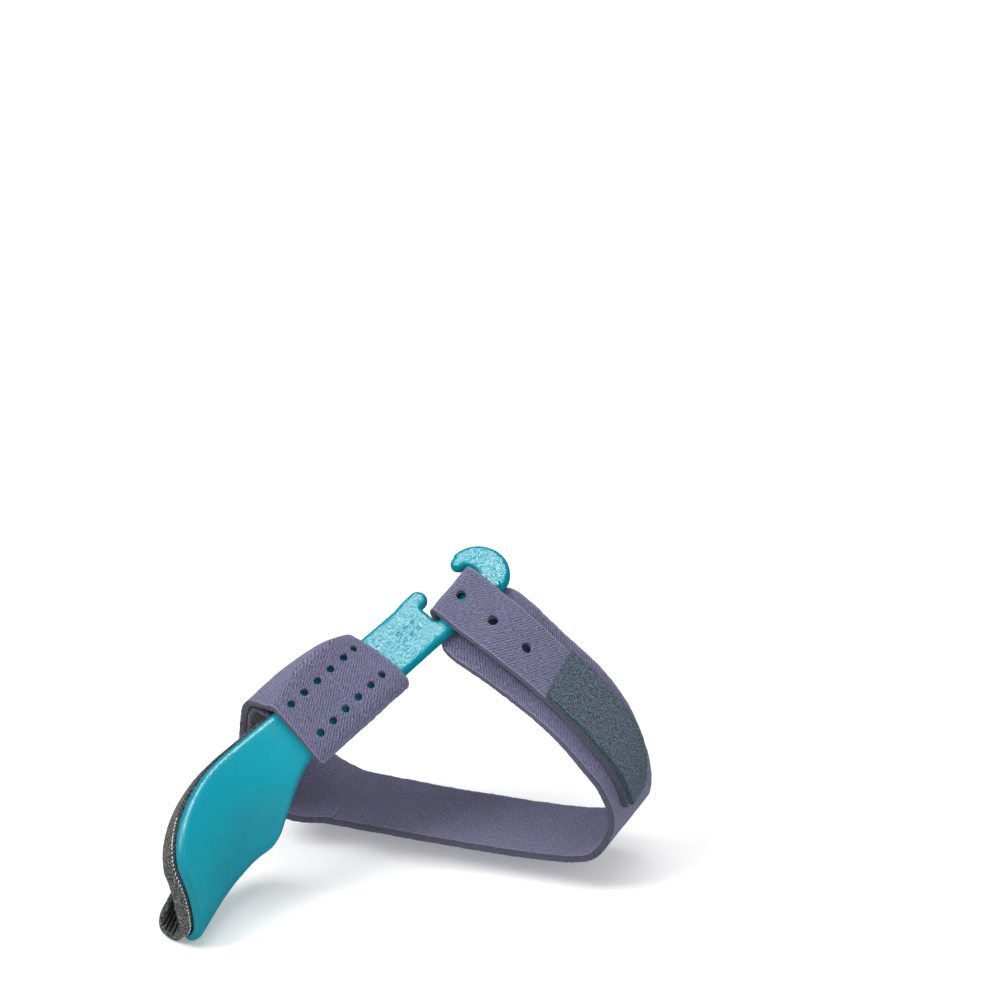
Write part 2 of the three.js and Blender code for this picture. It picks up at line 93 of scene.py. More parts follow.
# The worn shape. The splint is a flat pattern bent to form: s runs along it from the wing side of the
# band, and v across it from the inner edge.

splint = {
    "thickness": 2.3 * mm,
    "barWidth": 14.3 * mm,
    "wingLength": 46 * mm,
    "wingDepth": 30 * mm,
    "wingNeck": 14 * mm,
    "wingCorner": 4 * mm,
    "shoulderReach": 0.66,  # share of the wing's length
    "shoulderDepth": 0.5,  # and of its depth
    "curlRadius": 8 * mm,
    "curlSweep": 76,
    "slotStart": 44.9 * mm,
    "slotLength": 16.5 * mm,
    "slotFillet": 0.7 * mm,
    "spineWidth": 5.9 * mm,
    "spineSkew": 0.15,
    "prongRadius": 2.4 * mm,
    "headRun": 5.28 * mm,  # from where the bar's inner edge leaves its line to the slot
    "hookRadius": 8 * mm,
    "barYaw": 18.4,
    "barRise": 23,
    "barStart": (-25.1 * mm, 57 * mm, 34.9 * mm),
    "barStartBow": 14,
    "rim": 1.5 * mm,  # rounding of its edges
    "underRim": 0.6 * mm,
    "rimReach": 1.5 * mm,  # how far in the painted edge shade reaches
    "cell": 1.2 * mm,  # size of its mesh
}

# Each row gives the inner edge's place as shares of the wing's length, the section's heading, how far
# its outer side tilts down and bows, and how deep it goes before it curls under.
wingRows = [
    dict(at=-1.05, side=-0.105, reach=-1.0, drop=-0.235, yaw=3, rise=8, tilt=43.5, bow=51, deep=1),
    dict(at=-0.5, side=-0.105, reach=-0.48, drop=-0.145, yaw=6, rise=7, tilt=44, bow=57, deep=0.93),
    dict(at=-0.25, side=-0.056, reach=-0.238, drop=-0.074, yaw=12, rise=10, tilt=43, bow=48, deep=0.87),
]
barTwist = [(0, 38), (0.25, 30.5), (0.5, 24), (0.75, 22), (1.2, 22)]  # share of the bar, tilt


def readTable(rows, at):
    last = len(rows) - 1
    low = 0
    while low < last - 1 and at > rows[low + 1]["at"]:
        low += 1
    a, b = rows[low], rows[low + 1]
    before, after = rows[max(low - 1, 0)], rows[min(low + 2, last)]
    span = b["at"] - a["at"]
    t = (at - a["at"]) / span
    result = {}
    for key in a:
        if key == "at":
            continue
        slopeA = (b[key] - before[key]) / (b["at"] - before["at"])
        slopeB = (after[key] - a[key]) / (after["at"] - a["at"])
        if t < 0:
            result[key] = a[key] + slopeA * (at - a["at"])
        elif t > 1:
            result[key] = b[key] + slopeB * (at - b["at"])
        else:
            result[key] = (
                (2 * t**3 - 3 * t**2 + 1) * a[key] + (t**3 - 2 * t**2 + t) * slopeA * span
                + (3 * t**2 - 2 * t**3) * b[key] + (t**3 - t**2) * slopeB * span
            )
    return result


def sectionAxes(yaw, rise):
    yaw, rise = radians(yaw), radians(rise)
    axis = Vector((sin(yaw) * cos(rise), cos(yaw) * cos(rise), sin(rise)))
    outer = Vector((cos(yaw), -sin(yaw), 0))
    return axis, outer, outer.cross(axis)


def formTable():
    start = Vector(splint["barStart"])
    length = splint["wingLength"]
    rows = []
    for row in wingRows:
        rows.append(dict(
            at=row["at"] * length,
            x=start.x + row["side"] * length,
            y=start.y + row["reach"] * length,
            z=start.z + row["drop"] * length,
            yaw=row["yaw"], rise=row["rise"], tilt=row["tilt"], bow=row["bow"],
            deep=row["deep"] * splint["wingDepth"],
        ))
    axis, outer, up = sectionAxes(splint["barYaw"], splint["barRise"])
    barLength = splint["slotStart"] + splint["slotLength"] + splint["hookRadius"]
    half = splint["barWidth"] / 2

    def across(tilt):
        return outer * cos(radians(tilt)) - up * sin(radians(tilt))

    middle = start + across(barTwist[0][1]) * half
    for at, tilt in barTwist:
        place = middle + axis * (at * barLength) - across(tilt) * half
        rows.append(dict(
            at=at * barLength, x=place.x, y=place.y, z=place.z,
            yaw=splint["barYaw"], rise=splint["barRise"], tilt=tilt,
            bow=splint["barStartBow"] if at == 0 else 0, deep=splint["wingDepth"],
        ))
    return rows


formRows = formTable()


def facePoint(s, v):
    row = readTable(formRows, s)
    axis, outer, up = sectionAxes(row["yaw"], row["rise"])
    bend = radians(max(row["bow"], 0.01)) / row["deep"]
    start = radians(row["tilt"])
    turned = start + bend * min(v, row["deep"])
    across = (sin(turned) - sin(start)) / bend
    down = (cos(start) - cos(turned)) / bend
    if v > row["deep"]:
        curl = splint["curlRadius"]
        end = turned + (v - row["deep"]) / curl
        across += curl * (sin(end) - sin(turned))
        down += curl * (cos(turned) - cos(end))
    return Vector((row["x"], row["y"], row["z"])) + outer * across - up * down


def faceNormal(s, v):
    step = 0.05 * mm
    along = facePoint(s + step, v) - facePoint(s - step, v)
    across = facePoint(s, v + step) - facePoint(s, v - step)
    return across.cross(along).normalized()


def splintPoint(s, v, h):
    return facePoint(s, v) + faceNormal(s, v) * h


def curlEnd(sweep):
    return splint["wingDepth"] + radians(sweep) * splint["curlRadius"]


def quarter(share):
    return sqrt(max(0, 1 - share * share))


def ramp(value, low, high):
    share = min(max((value - low) / (high - low), 0), 1)
    return share * share * (3 - 2 * share)


# The straps' course. A row is a line of points across the cloth, and smooth curves join the rows.

straps = {
    "clearance": 0.3 * mm,
    "strapThickness": 1.8 * mm,
    "liningThickness": 1.5 * mm,
    "strapWidth": 24 * mm,
    "bandStart": -1 * mm,
    "bandWidth": 30.5 * mm,
    "bandOverhang": 2.3 * mm,
    "bandSwell": 2.3 * mm,  # on the inner side, where the band is full
    "fullAt": 0.05,  # shares of its width: where it is fullest, and how far that reaches
    "fullReach": 0.5,
    "rearDraw": 3.2 * mm,  # its rear edge is drawn in there
    "drawFrom": 0.2,
    "liningShort": 8 * mm,  # it ends before the band does
    "strapLap": 9 * mm,  # the strap starts under the band's end
    "tabSideClearance": 0.75 * mm,
    "footWidth": 92 * mm,
    "instepHeight": 50 * mm,
}
acrossCount = 8
shares = [j / acrossCount - 0.5 for j in range(acrossCount + 1)]

bandMiddle = straps["bandStart"] + straps["bandWidth"] / 2
slotMiddle = splint["slotStart"] + splint["slotLength"] / 2
tabWidth = splint["slotLength"] - 2 * straps["tabSideClearance"]
foldEdge = splint["barWidth"] - splint["spineWidth"]
overSplint = straps["clearance"] + straps["strapThickness"] / 2
underSplint = -(splint["thickness"] + straps["clearance"] + straps["strapThickness"] / 2)
bandPlace = splintPoint(bandMiddle, splint["barWidth"] / 2, 0)
strapRun = splintPoint(slotMiddle, splint["barWidth"] / 2, 0).y - bandPlace.y

# Each row: side, as a share of footWidth; along, of the run from the band to the slot; up, of
# instepHeight; turn and climb of its width; lift of the tab off the strap.
innerSideRows = [
    dict(side=-0.322, along=0.07, up=0.742, turn=16, climb=13),
    dict(side=-0.383, along=0.118, up=0.57, turn=4, climb=12),
    dict(side=-0.428, along=0.176, up=0.37, turn=-6, climb=9),
    dict(side=-0.421, along=0.241, up=0.154, turn=-8, climb=5),
    dict(side=-0.348, along=0.324, up=0.004, turn=-11, climb=1),
]
soleRows = [
    dict(side=-0.24, along=0.403, up=-0.032, turn=-13, climb=0),
    dict(side=-0.08, along=0.5, up=-0.038, turn=-13, climb=0),
    dict(side=0.15, along=0.64, up=-0.038, turn=-13, climb=0),
    dict(side=0.34, along=0.755, up=-0.026, turn=-12, climb=0),
    dict(side=0.462, along=0.83, up=0.014, turn=-9, climb=1),
]
outerSideRows = [
    dict(side=0.516, along=0.874, up=0.12, turn=-5, climb=3, lift=0),
    dict(side=0.522, along=0.888, up=0.27, turn=-8, climb=7, lift=0),
    dict(side=0.493, along=0.87, up=0.434, turn=-8, climb=13, lift=0),
    dict(side=0.445, along=0.866, up=0.55, turn=-4, climb=17, lift=0),
    dict(side=0.37, along=0.882, up=0.664, turn=-3, climb=21, lift=0.06),
    dict(side=0.25, along=0.938, up=0.762, turn=-5, climb=26, lift=0.4),
    dict(side=0.13, along=0.968, up=0.862, turn=4, climb=28, lift=0.82),
]


def rowOnSplint(middle, width, v, h, skew=0.0):
    return [splintPoint(middle + share * width, v - skew * share * width, h) for share in shares]


def rowOnFoot(row, width):
    middle = Vector((
        row["side"] * straps["footWidth"],
        bandPlace.y + row["along"] * strapRun,
        row["up"] * straps["instepHeight"],
    ))
    turn, climb = radians(row["turn"]), radians(row["climb"])
    across = Vector((sin(turn) * cos(climb), cos(turn) * cos(climb), sin(climb)))
    return [middle + across * (share * width) for share in shares]


def onFoot(rows, width):
    return [rowOnFoot(row, width) for row in rows]


def hermite(before, a, b, after, t):
    reach = (b - a).length
    slopeA = (b - before) * (reach / ((b - a).length + (a - before).length))
    slopeB = (after - a) * (reach / ((after - b).length + (b - a).length))
    return (
        a * (2 * t**3 - 3 * t**2 + 1) + slopeA * (t**3 - 2 * t**2 + t)
        + b * (3 * t**2 - 2 * t**3) + slopeB * (t**3 - t**2)
    )


def smoothRows(rows, steps=14):
    fine = []
    for i in range(len(rows) - 1):
        before, after = rows[max(i - 1, 0)], rows[min(i + 2, len(rows) - 1)]
        for k in range(steps):
            fine.append([
                hermite(before[j], rows[i][j], rows[i + 1][j], after[j], k / steps)
                for j in range(acrossCount + 1)
            ])
    fine.append(rows[-1])
    return fine


def rowNormals(rows):
    last = len(rows) - 1
    return [[
        (rows[min(i + 1, last)][j] - rows[max(i - 1, 0)][j])
        .cross(row[min(j + 1, acrossCount)] - row[max(j - 1, 0)]).normalized()
        for j in range(acrossCount + 1)
    ] for i, row in enumerate(rows)]


def shiftRows(rows, offset):
    normals = rowNormals(rows)
    return [[p + normals[i][j] * offset for j, p in enumerate(row)] for i, row in enumerate(rows)]


def rowDistances(rows):
    middle = acrossCount // 2
    total = 0.0
    distances = [total]
    for i in range(1, len(rows)):
        total += (rows[i][middle] - rows[i - 1][middle]).length
        distances.append(total)
    return distances


def stretchOf(rows, start, end):
    return [row for row, run in zip(rows, rowDistances(rows)) if start <= run <= end]


def fullness(share):
    return max(0, 1 - ((share - straps["fullAt"]) / straps["fullReach"]) ** 2)


def rearward(share):
    return ramp(share, straps["drawFrom"], 0.5)


def aroundEdge(angle, width, swell):  # full in the middle, and drawn in at the rear
    turn = radians(angle)
    row = []
    for share in shares:
        reach = edgeReach + swell * fullness(share)
        place = bandMiddle + share * width - straps["rearDraw"] * rearward(share)
        row.append(splintPoint(place, -reach * sin(turn), edgeReach * (cos(turn) - 1) + reach))
    return row


def swollen(row, swell, drawn):
    return [
        point - Vector((swell * fullness(share), drawn * rearward(share), 0))
        for point, share in zip(row, shares)
    ]


edgeReach = 1.15 * overSplint  # from the bar's inner edge to the middle of the cloth
barWidth = splint["barWidth"]
bandWidth = straps["bandWidth"]


def bandRow(v, h, atRear=1.1 * mm, atFront=0.0):  # how far its two ends are drawn in
    return [
        splintPoint(
            bandMiddle + share * bandWidth - atRear * ramp(share, 0.25, 0.5)
            + atFront * ramp(share, -0.35, -0.5), v, h
        )
        for share in shares
    ]


bandCourse = smoothRows([
    bandRow(barWidth + 0.75 * straps["bandOverhang"], -0.95 * splint["thickness"], 2.3 * mm, 1.5 * mm),
    bandRow(barWidth + 0.8 * straps["bandOverhang"], -0.15 * splint["thickness"], 1.4 * mm, 0.5 * mm),
    bandRow(barWidth + 0.2 * straps["bandOverhang"], 0.85 * overSplint),
    bandRow(0.85 * barWidth, 1.15 * overSplint),
    bandRow(0.6 * barWidth, 1.1 * overSplint, 1.3 * mm),
    bandRow(0.35 * barWidth, 1.1 * overSplint, 1.7 * mm),
    bandRow(0.05 * barWidth, 1.1 * overSplint, 2.5 * mm),
    aroundEdge(50, bandWidth, 0.5 * straps["bandSwell"]),
    aroundEdge(95, bandWidth, straps["bandSwell"]),
    swollen(rowOnFoot(innerSideRows[0], bandWidth), 0.9 * straps["bandSwell"], straps["rearDraw"]),
    swollen(rowOnFoot(innerSideRows[1], bandWidth), 0.4 * straps["bandSwell"], 0.75 * straps["rearDraw"]),
    *onFoot(innerSideRows[2:], bandWidth),
    rowOnFoot(soleRows[0], straps["strapWidth"]),
])

underLining = -(splint["thickness"] + 1.5 * straps["clearance"] + straps["liningThickness"] / 2)
liningLap = (straps["strapThickness"] + straps["liningThickness"]) / 2 + straps["clearance"]
innerTop = innerSideRows[0]["side"] * straps["footWidth"]
insideBand = [
    row for row, outside in zip(shiftRows(bandCourse, liningLap), bandCourse)
    if outside[acrossCount // 2].x < innerTop + 0.5 * mm
]
liningEnd = rowDistances(insideBand)[-1] - straps["liningShort"]
liningCourse = smoothRows([
    rowOnSplint(bandMiddle, bandWidth - 3 * mm, barWidth + 0.1 * mm, underLining - straps["clearance"]),
    rowOnSplint(bandMiddle, bandWidth - 2 * mm, 0.65 * barWidth, underLining),
    rowOnSplint(bandMiddle, bandWidth, 0.35 * barWidth, underLining),
    rowOnSplint(bandMiddle, bandWidth, 0.08 * barWidth, underLining - 0.5 * straps["clearance"]),
    insideBand[0],
]) + stretchOf(insideBand, 0.5 * mm, liningEnd)

lap = straps["strapThickness"] + straps["clearance"]
foldRadius = splint["thickness"] / 2 + overSplint
foldRows = [
    rowOnSplint(
        slotMiddle, tabWidth,
        foldEdge - foldRadius * cos(radians(angle)),
        -splint["thickness"] / 2 + foldRadius * sin(radians(angle)),
        splint["spineSkew"],
    )
    for angle in (-90, -55, -20, 20, 55, 90)
]
overSpine = barWidth - 0.4 * splint["spineWidth"]
pastSpine = barWidth + 2 * mm


def tabOnStrap(rows):
    course = onFoot(rows, tabWidth)
    normals = rowNormals(course)
    return [[
        p + normals[i][j] * (lap + rows[i]["lift"] * (splint["thickness"] + straps["clearance"]))
        for j, p in enumerate(row)
    ] for i, row in enumerate(course)]


tabCourse = smoothRows([
    foldRows[-1],
    rowOnSplint(slotMiddle, tabWidth, overSpine, overSplint, 0.5 * splint["spineSkew"]),
    rowOnSplint(slotMiddle, tabWidth, pastSpine, overSplint),
    *tabOnStrap(outerSideRows[:0:-1]),
])


def narrowed(row, width):
    middle = row[acrossCount // 2]
    share = width / (row[0] - row[-1]).length
    return [middle.lerp(p, share) for p in row]


bandEnd = rowDistances(bandCourse)[-1]
underBand = [
    narrowed(row, straps["strapWidth"])
    for row in stretchOf(shiftRows(bandCourse, -lap), bandEnd - straps["strapLap"], bandEnd)[::6]
]
strapUp = smoothRows([
    *underBand,
    *onFoot(soleRows[1:], straps["strapWidth"]),
    *onFoot(outerSideRows, straps["strapWidth"]),
    rowOnSplint(slotMiddle, straps["strapWidth"], pastSpine, underSplint),
    rowOnSplint(slotMiddle, (straps["strapWidth"] + tabWidth) / 2, overSpine, underSplint),
    *foldRows,
])

seat = splintPoint(bandMiddle, barWidth / 2, underLining - straps["liningThickness"] / 2)
print("courses worked out, seat", [round(x / mm, 2) for x in seat])

# Mesh helpers. Pieces are cut and trimmed flat, with their thickness in Z, and then formed.


def ellipse(centre, radii, start, end, steps):
    points = []
    for i in range(steps + 1):
        angle = radians(start + (end - start) * i / steps)
        points.append((centre[0] + radii[0] * cos(angle), centre[1] + radii[1] * sin(angle)))
    return points


def curve(a, b, c, steps=5):
    points = []
    for i in range(steps + 1):
        t = i / steps
        points.append(tuple((1 - t) ** 2 * a[k] + 2 * t * (1 - t) * b[k] + t * t * c[k] for k in (0, 1)))
    return points


def straight(a, b, step=1.2 * mm):
    count = max(1, round(hypot(b[0] - a[0], b[1] - a[1]) / step))
    return [(a[0] + (b[0] - a[0]) * i / count, a[1] + (b[1] - a[1]) * i / count) for i in range(count + 1)]


def thicken(mesh, thickness):
    raised = bmesh.ops.extrude_face_region(mesh, geom=mesh.faces[:])
    tops = [item for item in raised["geom"] if isinstance(item, bmesh.types.BMVert)]
    bmesh.ops.translate(mesh, verts=tops, vec=(0, 0, thickness))
    bmesh.ops.recalc_face_normals(mesh, faces=mesh.faces[:])


def plate(outline, bottom, top):
    mesh = bmesh.new()
    corners = []
    for x, y in outline:
        if not corners or (corners[-1].co.xy - Vector((x, y))).length > 0.05 * mm:
            corners.append(mesh.verts.new((x, y, bottom)))
    mesh.faces.new(corners)
    thicken(mesh, top - bottom)
    return mesh


def roundRims(mesh, size, segments, highest=True, lowest=True, clamp=True):
    rims = []
    for edge in mesh.edges:
        if len(edge.link_faces) != 2:
            continue
        flat = [face for face in edge.link_faces if abs(face.normal.z) > 0.9]
        wall = [face for face in edge.link_faces if abs(face.normal.z) < 0.1]
        if flat and wall and (highest if flat[0].normal.z > 0 else lowest):
            rims.append(edge)
    bmesh.ops.bevel(
        mesh, geom=rims, offset=size, offset_type="OFFSET", segments=segments, profile=0.5,
        affect="EDGES", clamp_overlap=clamp, material=-1,
    )


def gridCut(mesh, cell, fineFrom=None, fineCell=None):  # finer across the part past fineFrom
    xs = [vertex.co.x for vertex in mesh.verts]
    ys = [vertex.co.y for vertex in mesh.verts]
    along = [min(xs) + k * cell for k in range(1, int((max(xs) - min(xs)) / cell) + 1)]
    across, place = [], min(ys) + cell
    while place < max(ys):
        across.append(place)
        place += cell if fineFrom is None or place < fineFrom else fineCell
    for places, axis in ((along, Vector((1, 0, 0))), (across, Vector((0, 1, 0)))):
        for place in places:
            bmesh.ops.bisect_plane(
                mesh, geom=mesh.verts[:] + mesh.edges[:] + mesh.faces[:], dist=1e-7,
                plane_co=axis * place, plane_no=axis,
            )
    bmesh.ops.triangulate(mesh, faces=[face for face in mesh.faces if len(face.verts) > 4])


def markRim(mesh, outline, reach):
    near = kdtree.KDTree(len(outline))
    for i, (x, y) in enumerate(outline):
        near.insert((x, y, 0), i)
    near.balance()
    rim = mesh.verts.layers.float.new("rim")
    for vertex in mesh.verts:
        away = near.find((vertex.co.x, vertex.co.y, 0))[2]
        vertex[rim] = max(0.0, 1 - away / reach)


mapUnit = 10 * mm  # of the flat piece, for one unit of its map


def layUv(mesh):
    flat = mesh.loops.layers.uv.new("flat")
    for face in mesh.faces:
        for loop in face.loops:
            x, y, z = loop.vert.co
            loop[flat].uv = ((x + 0.9 * z) / mapUnit, (y + 0.7 * z) / mapUnit)


def finishPiece(mesh, name, material):
    data = bpy.data.meshes.new(name)
    bmesh.ops.recalc_face_normals(mesh, faces=mesh.faces[:])
    mesh.to_mesh(data)
    mesh.free()
    data.materials.append(material)
    for polygon in data.polygons:
        polygon.use_smooth = True
    piece = bpy.data.objects.new(name, data)
    bpy.context.scene.collection.objects.link(piece)
    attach(piece, "root")
    print("made", name, len(data.polygons), "faces")
    return piece


def lump(point, size):
    return noise.noise(point / size)


# Materials


def addNode(tree, kind, inputs=None, **settings):
    node = tree.nodes.new(kind)
    for name, value in settings.items():
        setattr(node, name, value)
    for name, value in (inputs or {}).items():
        if isinstance(value, bpy.types.NodeSocket):
            tree.links.new(value, node.inputs[name])
        else:
            node.inputs[name].default_value = value
    return node


def mathNode(tree, operation, a, b=0.5, c=0.5):
    return addNode(tree, "ShaderNodeMath", {0: a, 1: b, 2: c}, operation=operation).outputs[0]


def mixColour(tree, share, a, b):
    return addNode(tree, "ShaderNodeMix", {0: share, 6: a, 7: b}, data_type="RGBA").outputs[2]


def spread(tree, value, low, high, toLow=0.0, toHigh=1.0):
    return addNode(
        tree, "ShaderNodeMapRange",
        {"Value": value, "From Min": low, "From Max": high, "To Min": toLow, "To Max": toHigh},
        interpolation_type="SMOOTHSTEP",
    ).outputs[0]


def vectorMath(tree, operation, a, b=None, c=None):
    given = {i: value for i, value in enumerate((a, b, c)) if value is not None}
    return addNode(tree, "ShaderNodeVectorMath", given, operation=operation)


def roughNoise(tree, place, scale, detail, roughness):
    return addNode(
        tree, "ShaderNodeTexNoise",
        {"Vector": place, "Scale": scale, "Detail": detail, "Roughness": roughness},
    ).outputs


def newGroup(name, inputs, outputs):
    group = bpy.data.node_groups.new(name, "ShaderNodeTree")
    kinds = {"value": "NodeSocketFloat", "vector": "NodeSocketVector"}
    for sockets, side in ((inputs, "INPUT"), (outputs, "OUTPUT")):
        for label, kind in sockets.items():
            group.interface.new_socket(label, in_out=side, socket_type=kinds[kind])
    start = group.nodes.new("NodeGroupInput")
    end = group.nodes.new("NodeGroupOutput")
    return group, start.outputs, end.inputs


def speckleGroup():  # soft blotches with fine grains over them
    group, given, made = newGroup(
        "speckle", {"Place": "vector", "Blotch": "value", "Grain": "value"},
        {"Blotches": "value", "Grains": "value"},
    )
    blotch = roughNoise(group, given["Place"], given["Blotch"], 3.0, 0.6)[0]
    grain = roughNoise(group, given["Place"], given["Grain"], 2.0, 0.7)[0]
    group.links.new(spread(group, blotch, 0.32, 0.68), made["Blotches"])
    group.links.new(spread(group, grain, 0.33, 0.67), made["Grains"])
    return group


def clothGroup():  # slanting ribs of a brushed loop cloth, broken up by its nap
    group, given, made = newGroup(
        "loop cloth",
        {"Place": "vector", "Ribs": "value", "Slant": "value", "Nap": "value"},
        {"Height": "value", "Shade": "value"},
    )
    turned = addNode(
        group, "ShaderNodeVectorRotate", {"Vector": given["Place"], "Angle": given["Slant"]},
        rotation_type="Z_AXIS",
    ).outputs[0]
    wander, drift = roughNoise(group, turned, 8.0, 2.0, 0.6)
    shifted = vectorMath(group, "MULTIPLY_ADD", drift, (0.06, 0.06, 0.0), turned).outputs[0]
    along = addNode(group, "ShaderNodeSeparateXYZ", {"Vector": shifted}).outputs[0]
    rib = mathNode(group, "MULTIPLY", mathNode(group, "MULTIPLY", along, given["Ribs"]), 2 * pi)
    strands = vectorMath(group, "MULTIPLY", shifted, (1.0, 0.28, 1.0)).outputs[0]
    streak = roughNoise(group, strands, mathNode(group, "MULTIPLY", given["Ribs"], 2.6), 2.0, 0.6)[0]
    nap = roughNoise(group, given["Place"], given["Nap"], 3.0, 0.75)[0]
    depth = spread(group, wander, 0.4, 0.62, 0.02, 0.2)
    ribs = mathNode(group, "MULTIPLY", mathNode(group, "SINE", rib), depth)
    loops = mathNode(group, "MULTIPLY_ADD", streak, 0.75, ribs)
    height = mathNode(group, "MULTIPLY_ADD", nap, 0.95, loops)
    group.links.new(height, made["Height"])
    # Shade: painted shade, darker where the ribs and nap lie low
    group.links.new(spread(group, height, 0.6, 1.1), made["Shade"])
    return group


speckle = speckleGroup()
loopCloth = clothGroup()


def placeGroup(tree, group, inputs):
    return addNode(tree, "ShaderNodeGroup", inputs, node_tree=group).outputs


def newMaterial(name, settings):
    material = bpy.data.materials.new(name)
    material.use_nodes = True
    tree = material.node_tree
    shader = tree.nodes["Principled BSDF"]
    for label, value in settings.items():
        shader.inputs[label].default_value = value
    return material, tree, shader


def bumpInto(tree, shader, height, strength, distance):
    bump = addNode(
        tree, "ShaderNodeBump", {"Height": height, "Strength": strength, "Distance": distance}
    )
    tree.links.new(bump.outputs[0], shader.inputs["Normal"])


def objectPlace(tree):
    return addNode(tree, "ShaderNodeTexCoord").outputs["Object"]


def flatMap(tree):
    return addNode(tree, "ShaderNodeUVMap", uv_map="flat").outputs[0]


def rimMask(tree):
    return addNode(tree, "ShaderNodeAttribute", attribute_name="rim").outputs["Fac"]


tealPlastic = {
    "colour": (0.0, 0.30, 0.39, 1),
    "deep": (0.0, 0.26, 0.34, 1),
    # rim: painted shade, a darker teal along the rounded edges and in the pits
    "rim": (0.0, 0.21, 0.265, 1),
    "blotch": 40.0,
    "pitPitch": 2.3 * mm,
    "pitsAlong": (34 * mm, 41.8 * mm),  # faint pits in the bar by the slot
    "pitsAcross": (4.4 * mm, 9.4 * mm),
    "pitSize": (0.1, 0.27),  # where one starts and ends to fade
    # pitShade: how much painted shade darkens the pits
    "pitShade": 0.4,
    "pitDepth": 0.5,  # share of the peel's
    "polish": (-0.5, 2.5, 0.33, 0.15),  # along the map, from the wing's roughness to the bar's
    "peel": (1350.0, 2.5, 0.55),
    "peelAlong": (-1.5, 2.5, 0.4, 1.0),
    "bump": (0.65, 0.5 * mm),
}


def between(tree, value, span, soft=0.02):
    low, high = (edge / mapUnit for edge in span)
    return mathNode(
        tree, "MULTIPLY", spread(tree, value, low, low + soft), spread(tree, value, high - soft, high, 1, 0)
    )


def makeTealPlastic(look):
    material, tree, shader = newMaterial("teal plastic", {"Roughness": 0.24, "IOR": 1.46})
    place = objectPlace(tree)
    fine = placeGroup(tree, speckle, {"Place": place, "Blotch": look["blotch"]})
    colour = mixColour(tree, fine["Blotches"], look["colour"], look["deep"])
    # painted shade along the rounded edges
    colour = mixColour(tree, spread(tree, rimMask(tree), 0.15, 0.8), colour, look["rim"])
    flat = flatMap(tree)
    along, across = addNode(tree, "ShaderNodeSeparateXYZ", {"Vector": flat}).outputs[:2]
    pitch = mapUnit / look["pitPitch"]
    cells = vectorMath(tree, "MULTIPLY", flat, (pitch, pitch, pitch)).outputs[0]
    cell = vectorMath(tree, "FRACTION", cells).outputs[0]
    away = vectorMath(tree, "DISTANCE", cell, (0.5, 0.5, 0.0)).outputs["Value"]
    pits = mathNode(
        tree, "MULTIPLY", between(tree, along, look["pitsAlong"]), between(tree, across, look["pitsAcross"])
    )
    pits = mathNode(tree, "MULTIPLY", pits, spread(tree, away, *look["pitSize"], 1, 0))
    # painted shade in the pits
    colour = mixColour(tree, mathNode(tree, "MULTIPLY", pits, look["pitShade"]), colour, look["rim"])
    tree.links.new(colour, shader.inputs["Base Color"])
    tree.links.new(spread(tree, along, *look["polish"]), shader.inputs["Roughness"])
    peel = roughNoise(tree, place, *look["peel"])[0]
    height = mathNode(tree, "MULTIPLY", peel, spread(tree, along, *look["peelAlong"]))
    bumpInto(tree, shader, mathNode(tree, "MULTIPLY_ADD", pits, -look["pitDepth"], height), *look["bump"])
    return material


lavenderCloth = {
    "light": (0.215, 0.21, 0.35, 1),
    # dark: painted shade in the grooves between ribs and loops
    "dark": (0.05, 0.047, 0.098, 1),
    "grey": (0.185, 0.198, 0.285, 1),
    # fuzzSheen: paler frayed rims, partly loose fibres and partly painted sheen
    "fuzzSheen": (0.25, 0.245, 0.36, 1),
    # cutEdge: painted shade on the cloth's cut walls
    "cutEdge": (0.05, 0.048, 0.075, 1),
    "weave": {"Ribs": 15.5, "Slant": radians(35), "Nap": 52.0},
    "mottle": {"Blotch": 1.3},
    "greyed": 0.6,
    "fuzzSheenAt": (0.1, 0.6, 0, 0.5),  # on the rim, from no painted sheen to its share
    "cutAt": (0.6, 0.95, 0, 0.92),
    "bump": (0.9, 0.3 * mm),
}


def makeLavenderCloth(look):
    material, tree, shader = newMaterial("lavender loop cloth", {
        "Roughness": 0.92, "Specular IOR Level": 0.15, "Sheen Weight": 0.3, "Sheen Roughness": 0.45,
        "Sheen Tint": (0.80, 0.78, 0.95, 1),
    })
    flat = flatMap(tree)
    cloth = placeGroup(tree, loopCloth, {"Place": flat, **look["weave"]})
    mottle = placeGroup(tree, speckle, {"Place": flat, **look["mottle"]})
    greyed = mathNode(tree, "MULTIPLY", mottle["Blotches"], look["greyed"])
    colour = mixColour(tree, greyed, look["light"], look["grey"])
    # painted shade in the cloth's grooves
    colour = mixColour(tree, cloth["Shade"], look["dark"], colour)
    rim = rimMask(tree)
    # painted sheen on the frayed rims
    colour = mixColour(tree, spread(tree, rim, *look["fuzzSheenAt"]), colour, look["fuzzSheen"])
    # painted shade on the cut walls
    colour = mixColour(tree, spread(tree, rim, *look["cutAt"]), colour, look["cutEdge"])
    tree.links.new(colour, shader.inputs["Base Color"])
    bumpInto(tree, shader, cloth["Height"], *look["bump"])
    return material


liningCloth = {
    "light": (0.08, 0.08, 0.10, 1),
    # dark: painted shade in the lining's grooves
    "dark": (0.016, 0.016, 0.022, 1),
    "cutEdge": (0.055, 0.053, 0.075, 1),
    "weave": {"Ribs": 12.0, "Slant": radians(70), "Nap": 26.0},
    "cutAt": (0.5, 0.95, 0, 0.7),
    "bump": (0.8, 0.4 * mm),
}


